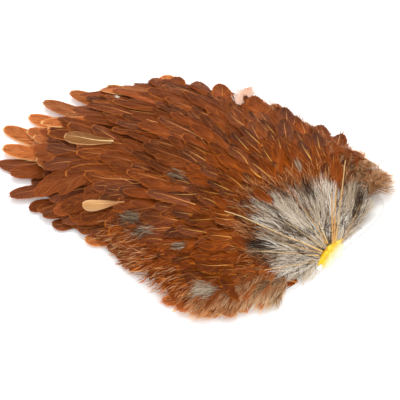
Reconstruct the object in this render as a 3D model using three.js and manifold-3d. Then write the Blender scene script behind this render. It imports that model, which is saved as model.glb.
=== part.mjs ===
// A hen saddle hackle: a dried patch of skin from a hen's back with its feathers still on, lying skin side down.
// Millimetres, +Z up. +X points to the cut front edge of the skin, and the feather tips fan out towards -X.
// The origin is on the surface that the patch lies on, under the middle of its outline.
import * as THREE from 'three';
import Module from 'manifold-3d';
import { mergeVertices } from 'three/addons/utils/BufferGeometryUtils.js';

const wasm = await Module();
wasm.setup();

// Driving dimensions of the patch
const FOCUS = { x: 85, y: -6.7 }; // the front tip of the skin, from which all the quills fan out
const CUT_ANGLES = [-98, 70]; // the fan's two cut sides, in degrees from straight back
const FAN_TURN = 0.04; // degrees that headings turn to the near side for each millimetre from the front tip
const TAIL_FLARE = { most: 28, nearSide: [20, 50], tail: [10, 60] }; // a further turn, over these distances
const OUTLINE = [ // how far the outermost feather tips reach, anticlockwise from the front
  [86, 4], [90, 47], [57, 59.5], [28, 67], [-2, 67.5], [-46, 52.5], [-70, 33.5], [-89, 8],
  [-93, -17], [-78, -37], [-52, -53], [-22, -52.5], [8, -62], [34, -69], [58, -67.5], [78, -34],
];
const GAP = 0.3; // between neighbouring pieces
const BEYOND = 150; // farther out, up or down than anything in the patch

// The dried skin
const SKIN_THICKNESS = 1.2;
const SKIN_SHARE = 0.77; // the skin's outline is this share of the feathers', shrunk towards the front tip
const SKIN_FORWARD = 1.8; // how far the cut edge of the skin stands out in front of the fluff
const SKIN_CORNERS = 48;

// The shape of the coat's top
const CROWN_HEIGHT = 22.5; // over its middle
const EDGE_HEIGHT = 4.2; // at its rim
const CROWN_ROUNDNESS = 0.8; // lower makes the top flatter and the rim steeper
const FRONT_EDGE_SHARE = 0.62; // towards the front tip the edge height falls to this share of itself
const FRONT_CROWN_SHARE = 0.35; // and the rise of the crown above it to this share
const FRONT_THINS_WITHIN = 52; // distance from the front tip over which it does
const SWELL_HEIGHT = 0.7;
const SWELL_ACROSS = [0.11, 0.13]; // radians of wave per millimetre, along X and along Y

// Feathers that show whole round the rim, in two layers so that neighbours pass over each other
const RIM_FEATHERS = 44;
const RIM_FEATHER = { halfWidth: 5.3, thickness: 0.9, ridge: 0.25 };
const RIM_TO_ROOT = [6, 48]; // shortest and longest way from a tip back to the skin
const RIM_RAGGED = 4.5; // how much shorter than the outline a feather may stop
const RIM_HOLD = 4; // how far the upper layer's quills reach over the skin's edge
const RIM_CLEAR = 2; // how far outside the skin the lower layer's quills stop
const RIM_LAYERS = [ // height of each layer's middle plane, of which the lower lies on the surface
  RIM_FEATHER.thickness / 2,
  RIM_FEATHER.thickness * 1.5 + RIM_FEATHER.ridge + GAP,
];
const RIM_SPAN = [0.157, 0.885]; // the rim feathers' share of the way round, from the front tip

// The coat of overlapping feathers
const COAT_SHARE = 0.93; // the coat's body ends at this share of the outline
const TAIL_SHARE = 0.87; // and at this one at the tail, where whole feathers stand out from under it
const TIPS_PAST_COAT = 0.035; // its outermost feather tips reach past its body by this share
const COAT_UNDERSIDE = RIM_LAYERS[1] + RIM_FEATHER.thickness / 2 + RIM_FEATHER.ridge + GAP;
const COAT_OVER_SKIN = 0.68; // inside this share, as for the skin, the coat comes down to the skin
const COAT_ROWS = { step: 11, tipStep: 9.5 };
const COAT_FEATHER = { length: 22, halfWidth: 5.2, thickness: 1.7, ridge: 0.6, sink: 1.2, lift: 2 };
const DOME_CORNERS = 28;
const DOME_STEPS = 10;
const DOME_BELOW_TOP = 1; // the feathers' common body lies this far below the coat's top
const FINEST_DETAIL = 0.15; // smaller bumps than this are smoothed out of the coat and the down

// The grey down at the cut front, where no feathers further forward cover it
const DOWN_SHARE = 0.975;
const DOWN_REACH = [37, 56]; // from the front tip, straight back and along the cut sides
const DOWN_WIDENS_OVER = 80; // degrees
const DOWN_TEETH = { count: 44, depth: 3.5, ragged: 1.5, angles: [-135, 112] }; // where it meets the coat
const DOWN_ROWS = { step: 9, tipStep: 8.8, first: 12 };
const DOWN_LOCK = { length: 15, halfWidth: 3.1, thickness: 2, ridge: 0.7, sink: 1, lift: 1.2 };

// One cream feather that lies over the near flank
const CREAM_FEATHER = { x: -16, y: -41.6, heading: 25, length: 22, halfWidth: 3.9, thickness: 0.9, ridge: 0.3 };
const CREAM_LIFT = [1.1, 3.2]; // how far over the coat its quill and its tip stand

// Shares of a feather's length and of its half width, from its quill to its tip
const WHOLE_FEATHER = [[0, 0], [0.35, 0.62], [0.72, 1], [0.93, 0.62], [1, 0]];
const COAT_FEATHER_TIP = [[0, 0], [0.55, 1], [0.86, 0.9], [1, 0]];
const LOCK_OF_DOWN = [[0, 0], [0.5, 1], [1, 0]];
const ROOF = 3; // corners of a section with a shaft ridge over two edges, its underside sunk in the coat
const KEELED = 4; // corners of a section with a keel below as well

const { degToRad, radToDeg, smoothstep, lerp, clamp } = THREE.MathUtils;
const outlinePoints = OUTLINE.map(([x, y]) => new THREE.Vector3(x, y, 0));
const outline = new THREE.CatmullRomCurve3(outlinePoints, true, 'catmullrom');
outline.arcLengthDivisions = 600;

// A number from -1 to 1 that looks random and is the same each time for the same two whole numbers.
function scatter(index, salt) {
  const wave = Math.sin(index * 12.9898 + salt * 78.233) * 43758.5453;
  return 2 * (wave - Math.floor(wave)) - 1;
}

// Distance from the middle to the outline in each whole degree, for shareOfOutline.
const reachByDegree = new Array(360).fill(0);
for (const point of outline.getPoints(1440)) {
  const degree = (Math.round(radToDeg(Math.atan2(point.y, point.x))) + 360) % 360;
  reachByDegree[degree] = Math.max(reachByDegree[degree], point.length());
}

// 0 at the middle of the patch and 1 on its outline.
function shareOfOutline(x, y) {
  const degree = (radToDeg(Math.atan2(y, x)) + 360) % 360;
  const low = Math.floor(degree);
  const reach = lerp(reachByDegree[low], reachByDegree[(low + 1) % 360], degree - low);
  return Math.hypot(x, y) / reach;
}

// The share of the outline at which the coat's body ends, in the direction of a place.
function coatShareTowards(x, y) {
  const backward = -x / Math.max(Math.hypot(x, y), 1e-6);
  return lerp(COAT_SHARE, TAIL_SHARE, smoothstep(backward, 0.4, 0.95));
}

// The height of the coat's top, before single feathers stand out of it.
function coatHeight(x, y) {
  const inside = Math.max(0, 1 - shareOfOutline(x, y) ** 2) ** CROWN_ROUNDNESS;
  const fromFront = smoothstep(Math.hypot(x - FOCUS.x, y - FOCUS.y), 0, FRONT_THINS_WITHIN);
  const swell = SWELL_HEIGHT * Math.sin(x * SWELL_ACROSS[0] + 1) * Math.sin(y * SWELL_ACROSS[1]);
  const edge = EDGE_HEIGHT * lerp(FRONT_EDGE_SHARE, 1, fromFront);
  const crown = (CROWN_HEIGHT - EDGE_HEIGHT) * lerp(FRONT_CROWN_SHARE, 1, fromFront);
  return edge + (crown + swell) * inside;
}

// Places are {x, y}. Directions are in degrees from straight back (-X), positive to the near side (-Y).
function moved(place, direction, distance) {
  const angle = degToRad(direction);
  return { x: place.x - distance * Math.cos(angle), y: place.y - distance * Math.sin(angle) };
}

// The direction in which a feather points where its tip lies.
function headingAt({ x, y }) {
  const fromTip = radToDeg(Math.atan2(FOCUS.y - y, FOCUS.x - x));
  const flare = smoothstep(-y, ...TAIL_FLARE.nearSide) * smoothstep(-x, ...TAIL_FLARE.tail);
  return fromTip + FAN_TURN * Math.hypot(x - FOCUS.x, y - FOCUS.y) + TAIL_FLARE.most * flare;
}

// A sphere as a closed mesh with shared vertices, each moved by place.
function bentSphere(around, steps, place) {
  const sphere = new THREE.SphereGeometry(1, around, steps);
  sphere.deleteAttribute('normal');
  sphere.deleteAttribute('uv');
  const geometry = mergeVertices(sphere, 1e-4);
  const position = geometry.attributes.position;
  const vertex = new THREE.Vector3();
  for (let i = 0; i < position.count; i++) {
    const { x, y, z } = place(vertex.fromBufferAttribute(position, i));
    position.setXYZ(i, x, y, z);
  }
  return geometry;
}

// A feather or a lock of down as a closed leaf from its root along a heading. Its stations are the shares above, and
// heightAt gives the level of its middle plane at a place and a share of its length.
function leafGeometry(corners, stations, root, heading, leaf, heightAt) {
  const steps = stations.length - 1;
  const cornerSine = Math.sin(Math.PI / 3);
  return bentSphere(corners, steps, (point) => {
    const step = Math.round(Math.acos(clamp(point.y, -1, 1)) / Math.PI * steps);
    const [share, width] = stations[step];
    const girth = Math.max(Math.hypot(point.x, point.z), 1e-6);
    const across = (corners === ROOF ? -point.z / cornerSine : -point.x) / girth;
    const upward = (corners === ROOF ? -point.x : point.z) / girth;
    const rise = upward > 0 ? leaf.thickness / 2 + leaf.ridge : leaf.thickness / 2;
    const onShaft = moved(root, heading, share * leaf.length);
    const { x, y } = moved(onShaft, heading - 90, across * leaf.halfWidth * width);
    return { x, y, z: heightAt(x, y, share) + upward * width * rise };
  });
}

function solidOf(geometry) {
  const shared = geometry.clone();
  shared.deleteAttribute('normal');
  shared.deleteAttribute('uv');
  const merged = mergeVertices(shared, 1e-4);
  const vertProperties = merged.attributes.position.array;
  const triVerts = new Uint32Array(merged.index.array);
  return new wasm.Manifold(new wasm.Mesh({ numProp: 3, vertProperties, triVerts }));
}

function geometryOf(solid) {
  const mesh = solid.getMesh();
  const geometry = new THREE.BufferGeometry();
  geometry.setAttribute('position', new THREE.BufferAttribute(new Float32Array(mesh.vertProperties), 3));
  geometry.setIndex(new THREE.BufferAttribute(new Uint32Array(mesh.triVerts), 1));
  return geometry;
}

function prism(shape, bottom, top) {
  const geometry = new THREE.ExtrudeGeometry(shape, { depth: top - bottom, bevelEnabled: false });
  return geometry.translate(0, 0, bottom);
}

// A flat shape that reaches beyond the patch on every side.
function everywhere() {
  return new THREE.Shape([
    new THREE.Vector2(-BEYOND, -BEYOND),
    new THREE.Vector2(BEYOND, -BEYOND),
    new THREE.Vector2(BEYOND, BEYOND),
    new THREE.Vector2(-BEYOND, BEYOND),
  ]);
}

// The outline at a share of its size about the front tip, and set forward with the skin's cut edge.
function skinShape(share) {
  const points = outline.getPoints(SKIN_CORNERS).slice(0, -1).map(({ x, y }) => new THREE.Vector2(
    FOCUS.x + (x - FOCUS.x) * share + SKIN_FORWARD,
    FOCUS.y + (y - FOCUS.y) * share,
  ));
  return new THREE.Shape(points);
}

function isOverSkin({ x, y }) {
  const fullX = FOCUS.x + (x - SKIN_FORWARD - FOCUS.x) / SKIN_SHARE;
  const fullY = FOCUS.y + (y - FOCUS.y) / SKIN_SHARE;
  return shareOfOutline(fullX, fullY) < 1;
}

// The lower layer's rim feathers grow from the edge of the skin and the upper layer's from on top of it.
function rimFeather(index) {
  const end = outline.getPointAt(lerp(...RIM_SPAN, index / (RIM_FEATHERS - 1)));
  const layer = index % 2;
  const heading = headingAt(end) + 2 * scatter(index, 1);
  let toRoot = RIM_TO_ROOT[0];
  while (toRoot < RIM_TO_ROOT[1] && !isOverSkin(moved(end, heading, -toRoot - RIM_CLEAR))) {
    toRoot += 0.5;
  }
  toRoot += layer ? RIM_HOLD : 0;
  const shorter = RIM_RAGGED * (1 + scatter(index, 2)) / 2;
  const leaf = { ...RIM_FEATHER, length: toRoot - shorter };
  const root = moved(end, heading, -toRoot);
  return leafGeometry(KEELED, WHOLE_FEATHER, root, heading, leaf, () => RIM_LAYERS[layer]);
}

// A low dome with a flat underside, out to the share of the outline that endsAt gives in each direction.
function domeSolid(endsAt) {
  const underside = SKIN_THICKNESS + GAP;
  return solidOf(bentSphere(DOME_CORNERS, DOME_STEPS, (point) => {
    const outward = Math.hypot(point.x, point.z);
    if (outward < 1e-6) {
      return { x: 0, y: 0, z: point.y < 0 ? underside : coatHeight(0, 0) - DOME_BELOW_TOP };
    }
    const directionX = point.x / outward;
    const directionY = -point.z / outward;
    const share = endsAt(directionX, directionY) * outward;
    const reach = share / shareOfOutline(directionX, directionY);
    const x = reach * directionX;
    const y = reach * directionY;
    const top = Math.max(coatHeight(x, y) - DOME_BELOW_TOP, underside + GAP);
    return { x, y, z: point.y < -1e-6 ? underside : top };
  }));
}

// Leaves in rows round the front tip, each row an arc whose leaves stand half a step off the row before. Only tips
// within the share of the outline that endsAt gives are kept, and the outermost of those lie flatter.
function leafRows(stations, leaf, rows, firstRow, lastRow, endsAt) {
  const leaves = [];
  for (let row = 0; firstRow + row * rows.step <= lastRow; row++) {
    const distance = firstRow + row * rows.step;
    const turn = radToDeg(rows.tipStep / distance);
    for (let i = Math.floor(CUT_ANGLES[0] / turn); i * turn <= CUT_ANGLES[1]; i++) {
      const seed = row * 97 + i;
      const direction = (i + (row % 2) / 2 + 0.18 * scatter(seed, 3)) * turn;
      const tip = moved(FOCUS, direction, distance + 0.15 * rows.step * scatter(seed, 4));
      const inside = endsAt(tip.x, tip.y) - shareOfOutline(tip.x, tip.y);
      if (direction < CUT_ANGLES[0] || direction > CUT_ANGLES[1] || inside < 0) continue;
      const heading = headingAt(tip) + 7 * scatter(seed, 5);
      const root = moved(tip, heading, -leaf.length);
      const lift = leaf.lift * (1 + 0.3 * scatter(seed, 6)) * smoothstep(inside, -0.08, 0.12);
      const heightAt = (x, y, share) => coatHeight(x, y) + lerp(-leaf.sink, lift, share) - leaf.thickness / 2;
      leaves.push(solidOf(leafGeometry(ROOF, stations, root, heading, leaf, heightAt)));
    }
  }
  return leaves;
}

// How far the down reaches from the front tip in a direction.
function downReach(direction) {
  return lerp(...DOWN_REACH, smoothstep(Math.abs(direction), 0, DOWN_WIDENS_OVER));
}

// Everything in front of the toothed line where the down meets the coat, with that line moved back by a margin.
function frontZone(margin) {
  const points = [];
  for (let i = 0; i <= DOWN_TEETH.count; i++) {
    const direction = lerp(...DOWN_TEETH.angles, i / DOWN_TEETH.count);
    const tooth = i % 2 ? DOWN_TEETH.depth : -DOWN_TEETH.depth;
    const distance = downReach(direction) + tooth + DOWN_TEETH.ragged * scatter(i, 7) + margin;
    const place = moved(FOCUS, direction, distance);
    points.push(new THREE.Vector2(place.x, place.y));
  }
  points.push(new THREE.Vector2(FOCUS.x + DOWN_REACH[1], FOCUS.y));
  return solidOf(prism(new THREE.Shape(points.reverse()), 0, BEYOND));
}

// The room under the coat, outside the skin, in which the rim feathers lie.
function rimRoom() {
  const shape = everywhere();
  shape.holes.push(skinShape(COAT_OVER_SKIN));
  return solidOf(prism(shape, 0, COAT_UNDERSIDE));
}

// The cream feather, or with a margin all round the room that it needs in the coat.
function creamFeather(margin) {
  const leaf = {
    ...CREAM_FEATHER,
    length: CREAM_FEATHER.length + 2 * margin,
    halfWidth: CREAM_FEATHER.halfWidth + 1.5 * margin,
    thickness: CREAM_FEATHER.thickness + 3 * margin,
  };
  const root = moved(CREAM_FEATHER, leaf.heading, -leaf.length / 2);
  const heightAt = (x, y, share) => coatHeight(x, y) + lerp(...CREAM_LIFT, share);
  return leafGeometry(KEELED, WHOLE_FEATHER, root, leaf.heading, leaf, heightAt);
}

function featherCoat() {
  const tipShareTowards = (x, y) => coatShareTowards(x, y) + TIPS_PAST_COAT;
  const firstRow = DOWN_REACH[0] + COAT_FEATHER.length / 3;
  const leaves = leafRows(COAT_FEATHER_TIP, COAT_FEATHER, COAT_ROWS, firstRow, 2 * BEYOND, tipShareTowards);
  return wasm.Manifold.union([domeSolid(coatShareTowards), ...leaves])
    .subtract(frontZone(GAP))
    .subtract(rimRoom())
    .subtract(solidOf(creamFeather(GAP)));
}

function frontDown() {
  const lastRow = DOWN_REACH[1] + DOWN_TEETH.depth;
  const locks = leafRows(LOCK_OF_DOWN, DOWN_LOCK, DOWN_ROWS, DOWN_ROWS.first, lastRow, () => DOWN_SHARE);
  const belowDown = solidOf(prism(everywhere(), -BEYOND, SKIN_THICKNESS + GAP));
  return wasm.Manifold.union([domeSolid(() => DOWN_SHARE), ...locks])
    .intersect(frontZone(0))
    .subtract(belowDown);
}

// The largest body of a solid, without the chips that the cuts leave beside it.
function largestBody(solid) {
  const bodies = solid.simplify(FINEST_DETAIL).decompose();
  return bodies.reduce((most, body) => (body.volume() > most.volume() ? body : most));
}

const CHESTNUT = new THREE.MeshStandardMaterial({ color: 0x8a4520, roughness: 0.7, metalness: 0, flatShading: true });
const GREY_DOWN = new THREE.MeshStandardMaterial({ color: 0x9a8c7a, roughness: 0.95, metalness: 0, flatShading: true });
const SKIN_YELLOW = new THREE.MeshStandardMaterial({ color: 0xf0b428, roughness: 0.45, metalness: 0, flatShading: true });
const CREAM = new THREE.MeshStandardMaterial({ color: 0xd8a46c, roughness: 0.7, metalness: 0, flatShading: true });

const patch = new THREE.Group();
function add(name, geometry, material) {
  const mesh = new THREE.Mesh(geometry, material);
  mesh.name = name;
  patch.add(mesh);
}

add('skin', prism(skinShape(SKIN_SHARE), 0, SKIN_THICKNESS), SKIN_YELLOW);
add('feather_coat', geometryOf(largestBody(featherCoat())), CHESTNUT);
add('front_down', geometryOf(largestBody(frontDown())), GREY_DOWN);
add('cream_feather', creamFeather(0), CREAM);
for (let i = 0; i < RIM_FEATHERS; i++) {
  add(`rim_feather_${String(i + 1).padStart(2, '0')}`, rimFeather(i), CHESTNUT);
}

export default patch;
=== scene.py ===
# The looks of a hen saddle hackle: its skin, its coat of chestnut feathers, its grey down and its fluff.
# Shapes are worked out in millimetres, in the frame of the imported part, and become metres as meshes are made.
# Directions are in degrees from straight back (-X), positive to the near side (-Y).
import math

import bpy
import numpy as np
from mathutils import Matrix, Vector


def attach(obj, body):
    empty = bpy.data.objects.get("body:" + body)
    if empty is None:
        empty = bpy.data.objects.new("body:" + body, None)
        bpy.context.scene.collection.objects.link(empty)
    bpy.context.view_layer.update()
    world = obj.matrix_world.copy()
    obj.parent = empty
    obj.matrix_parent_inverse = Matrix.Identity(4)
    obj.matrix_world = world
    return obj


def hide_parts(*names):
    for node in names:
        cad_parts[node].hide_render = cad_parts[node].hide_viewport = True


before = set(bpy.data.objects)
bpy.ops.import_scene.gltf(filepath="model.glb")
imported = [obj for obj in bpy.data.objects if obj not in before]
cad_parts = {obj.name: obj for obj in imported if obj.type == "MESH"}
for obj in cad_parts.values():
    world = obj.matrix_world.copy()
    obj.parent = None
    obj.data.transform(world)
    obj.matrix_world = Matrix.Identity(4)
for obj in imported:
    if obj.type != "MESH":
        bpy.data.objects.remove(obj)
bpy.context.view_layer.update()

MM = 0.001
rng = np.random.default_rng(11)


def start_draws(seed):
    """Makes what follows draw the same numbers, whatever was drawn before."""
    rng.bit_generator.state = np.random.default_rng(seed).bit_generator.state


# The patch, as in the solids
FOCUS = np.array([85.0, -6.7])  # the front tip of the skin, from which all the quills fan out
CUT_ANGLES = (-98, 70)
FAN_TURN = 0.04
TAIL_FLARE = {"most": 28, "near_side": (20, 50), "tail": (10, 60)}
OUTLINE = [
    (86, 4), (90, 47), (57, 59.5), (28, 67), (-2, 67.5), (-46, 52.5), (-70, 33.5), (-89, 8),
    (-93, -17), (-78, -37), (-52, -53), (-22, -52.5), (8, -62), (34, -69), (58, -67.5), (78, -34),
]
SKIN_THICKNESS = 1.2
SKIN_SHARE = 0.77
SKIN_FORWARD = 1.8
CROWN_HEIGHT = 22.5
EDGE_HEIGHT = 4.2
CROWN_ROUNDNESS = 0.8
FRONT_EDGE_SHARE = 0.62
FRONT_CROWN_SHARE = 0.35
FRONT_THINS_WITHIN = 52
SWELL_HEIGHT = 0.7
SWELL_ACROSS = (0.11, 0.13)
RIM_FEATHERS = 44
RIM_TO_ROOT = (6, 48)
RIM_RAGGED = 4.5
RIM_HOLD = 4
RIM_CLEAR = 2
RIM_SPAN = (0.157, 0.885)
RIM_LAYERS = (0.45, 1.9)
CREAM_FEATHER = {"x": -16, "y": -41.6, "heading": 25, "length": 22, "half_width": 3.9}
CREAM_LIFT = (1.1, 3.2)
DOWN_REACH = (37, 56)
DOWN_WIDENS_OVER = 80

# Finer shapes than the solids have
EDGE_DROOP = 2.4  # how far the outermost feathers bend down towards the surface
FAR_TAIL_TURN = {  # how much more to the near side the feathers at the far side of the tail point
    "most": 17, "tail": (-5, 45), "far_side": (-15, 28),
}
TAIL_DIRECTIONS = (12, 10, 60)  # the middle of the tail seen from the patch's middle, its core and its end
FEATHERS_BETWEEN = (-73, 61)  # the directions from the front tip in which feathers begin at the light down
PLUME_REACH = {  # how far the light down reaches, by direction from the front tip
    "directions": (-98, -80, -60, -25, -6, 23, 35, 48, 60, 70),
    "reach": (34, 35, 34, 32, 39, 38, 39, 34, 34, 22),
}
RAISED = [  # feathers that stand up: x, y, heading, half width, curl of the tip, row of the chart
    (-43.5, 48.5, -44, 5.4, 3.0, 5), (-39.5, 54.7, -60, 6.4, 5.5, 6), (-34, 54.7, -72, 5.6, 5.0, 4),
    (-37, 49, -50, 5.0, 2.6, 3), (-23.5, 57.5, -52, 5.4, 3.2, 4), (-10.5, 58, -60, 5.4, 3.2, 3),
    (9, 54.8, -48, 5.6, 1.8, 3), (15, 54, -64, 5.2, 1.6, 5), (24.5, 59, -58, 4.6, 2.2, 2),
    (31, 57, -70, 5.0, 1.2, 4), (43.5, 61.5, -66, 5.0, 3.2, 4), (53, 63.5, -76, 4.8, 3.6, 3),
    (55, -59.5, 62, 6.4, 5.5, 1), (-33, 40, -40, 4.0, 2.0, 4), (2, 44, -36, 3.8, 1.8, 3),
    (30, 46, -56, 4.2, 2.0, 2),
]
ORANGE_RIM_FEATHER = 33  # the rim feather whose orange tip stands out at the near side
FINGER_MOVES = {  # how far rim feathers' tips are moved outwards and towards the far side
    3: (-1.5, 0), 4: (-3, 0), 5: (-2.5, 0), 6: (-1, 0), 12: (-2, 0), 13: (-3, 0), 14: (-4, 2),
    15: (1.5, 3.4), 16: (-5, 2), 17: (2, 3.6), 18: (-8, 2), 19: (0, 6), 20: (-1.5, 3), 21: (-9, 0),
    22: (1.5, 8), 23: (-2, 1.5), 24: (2.5, 0), 25: (1, 0), 26: (-8, 0), 27: (4, 2.2), 28: (1.5, 0),
    29: (3, 0), 30: (3, 0), 31: (2, 0), 32: (2.5, -1), 34: (-3, 0), 35: (-3, 0), 36: (-3, 0),
    37: (-2.5, 0), 38: (5, 0), 39: (5.5, 0), 40: (1, 0), 42: (-1, 0), 43: (-5, 0),
}
DOWN_PEEKS = [  # tufts of down, the last a painted glint: x, y, direction, length, strands, lightness
    (2, -44, 12, 12, 110, 0.34), (10, -48, 18, 10, 90, 0.34), (9, -16, 2, 10, 70, 0.3),
    (52, 21, -38, 8, 70, 0.3), (29, -49, 30, 7, 60, 0.36), (50, -61, 34, 10, 460, 0.56),
    # The last tuft, tiny and pure white, is a painted glint.
    (44, -14, 14, 7, 50, 0.36), (-47.5, 20.5, -10, 2.4, 36, 1.0),
]

# The camera: the photograph looks down at the near left of the patch
CAMERA_AZIMUTH = 30
CAMERA_ELEVATION = 45
CAMERA_DISTANCE = 950
CAMERA_AIM = (9.0, -13.7)  # the picture's middle is this far right of and above the patch's, across the view
PIXELS_PER_MM = 2.11
SENSOR_WIDTH = 36
PICTURE_WIDTH = 400


def scatter(index, salt):
    """A number from -1 to 1 that looks random, the same as in the solids."""
    wave = math.sin(index * 12.9898 + salt * 78.233) * 43758.5453
    return 2 * (wave - math.floor(wave)) - 1


def smooth(x, low, high):
    t = np.clip((x - low) / (high - low), 0, 1)
    return t * t * (3 - 2 * t)


def mix(a, b, share):
    return a + (b - a) * share


def curve_through(knots, count):
    """Points on the closed smooth curve through the knots, evenly spaced in its parameter."""
    knots = np.array(knots, float)
    place = np.arange(count) / count * len(knots)
    first = np.floor(place).astype(int)
    t = (place - first)[:, None]
    before, here, there, beyond = (knots[(first + k) % len(knots)] for k in (-1, 0, 1, 2))
    leaving = (there - before) / 2
    arriving = (beyond - here) / 2
    return (
        here + leaving * t
        + (3 * (there - here) - 2 * leaving - arriving) * t**2
        + (2 * (here - there) + leaving + arriving) * t**3
    )


def reach_by_degree():
    reach = np.zeros(360)
    for x, y in curve_through(OUTLINE, 1440):
        degree = round(math.degrees(math.atan2(y, x))) % 360
        reach[degree] = max(reach[degree], math.hypot(x, y))
    return np.append(reach, reach[0])


REACH = reach_by_degree()


def outline_reach(x, y):
    """Distance from the middle to the outline in the direction of a place."""
    return np.interp(np.degrees(np.arctan2(y, x)) % 360, np.arange(361), REACH)


def share_of_outline(x, y):
    return np.hypot(x, y) / outline_reach(x, y)


def from_front_tip(x, y):
    """Distance and direction of a place from the front tip."""
    return np.hypot(x - FOCUS[0], y - FOCUS[1]), np.degrees(np.arctan2(FOCUS[1] - y, FOCUS[0] - x))


def coat_height(x, y):
    """The height of the coat's top, before single feathers stand out of it."""
    inside = np.maximum(0, 1 - share_of_outline(x, y) ** 2) ** CROWN_ROUNDNESS
    from_front = smooth(from_front_tip(x, y)[0], 0, FRONT_THINS_WITHIN)
    swell = SWELL_HEIGHT * np.sin(x * SWELL_ACROSS[0] + 1) * np.sin(y * SWELL_ACROSS[1])
    edge = EDGE_HEIGHT * mix(FRONT_EDGE_SHARE, 1, from_front)
    crown = (CROWN_HEIGHT - EDGE_HEIGHT) * mix(FRONT_CROWN_SHARE, 1, from_front)
    return edge + (crown + swell) * inside


def drooping_height(x, y):
    """The coat's top with its outermost feathers bent down."""
    tail = np.maximum(smooth(-x, 30, 70), smooth(-y, 20, 45) * smooth(-x, -30, 10))
    bent = smooth(share_of_outline(x, y), 0.84 - 0.14 * tail, 1.02)
    return coat_height(x, y) - EDGE_DROOP * (1 + 0.5 * tail) * bent


def direction(degrees):
    """The unit vector of a direction."""
    angle = np.radians(degrees)
    return np.stack([-np.cos(angle), -np.sin(angle)], -1)


def place_from_tip(distance, degrees):
    """The place at a distance and direction from the front tip."""
    return FOCUS + np.asarray(distance)[..., None] * direction(degrees)


def heading_at(places):
    """The direction in which a feather points where its tip lies."""
    x, y = places[..., 0], places[..., 1]
    distance, turned = from_front_tip(x, y)
    flare = smooth(-y, *TAIL_FLARE["near_side"]) * smooth(-x, *TAIL_FLARE["tail"])
    return turned + FAN_TURN * distance + TAIL_FLARE["most"] * flare


def far_tail_turn(x, y):
    """How much further than the solids' the feathers at the tail's far side point to the near side."""
    in_tail, at_far_side = smooth(-x, *FAR_TAIL_TURN["tail"]), smooth(y, *FAR_TAIL_TURN["far_side"])
    return FAR_TAIL_TURN["most"] * in_tail * at_far_side


def waviness(x, y):
    """From -1 to 1, changing slowly over the patch."""
    return np.sin(x * 0.13 + 2 * np.sin(y * 0.07)) * np.cos(y * 0.16 + 1.3 * np.sin(x * 0.09))


def plume_reach(degrees):
    return np.interp(degrees, PLUME_REACH["directions"], PLUME_REACH["reach"])


def down_reach(degrees):
    return mix(*DOWN_REACH, smooth(np.abs(degrees), 0, DOWN_WIDENS_OVER))


def tail_share(x, y):
    """1 in the tail, where feathers stand out like fingers, and 0 elsewhere."""
    middle, core, end = TAIL_DIRECTIONS
    apart = np.abs((np.degrees(np.arctan2(-y, -x)) - middle + 180) % 360 - 180)
    return (1 - smooth(apart, core, end)) * smooth(share_of_outline(x, y), 0.6, 0.85)


# Mesh making
def coat_top(flat):
    """The drooping coat's height at flat places (..., 2)."""
    return drooping_height(flat[..., 0], flat[..., 1])


def together(*values):
    """Values of matching shapes as the last axis of one array."""
    return np.stack(np.broadcast_arrays(*values), -1)


def with_level(flat, level):
    """Flat places (..., 2) with their heights."""
    return np.concatenate([flat, level[..., None]], -1)


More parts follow.
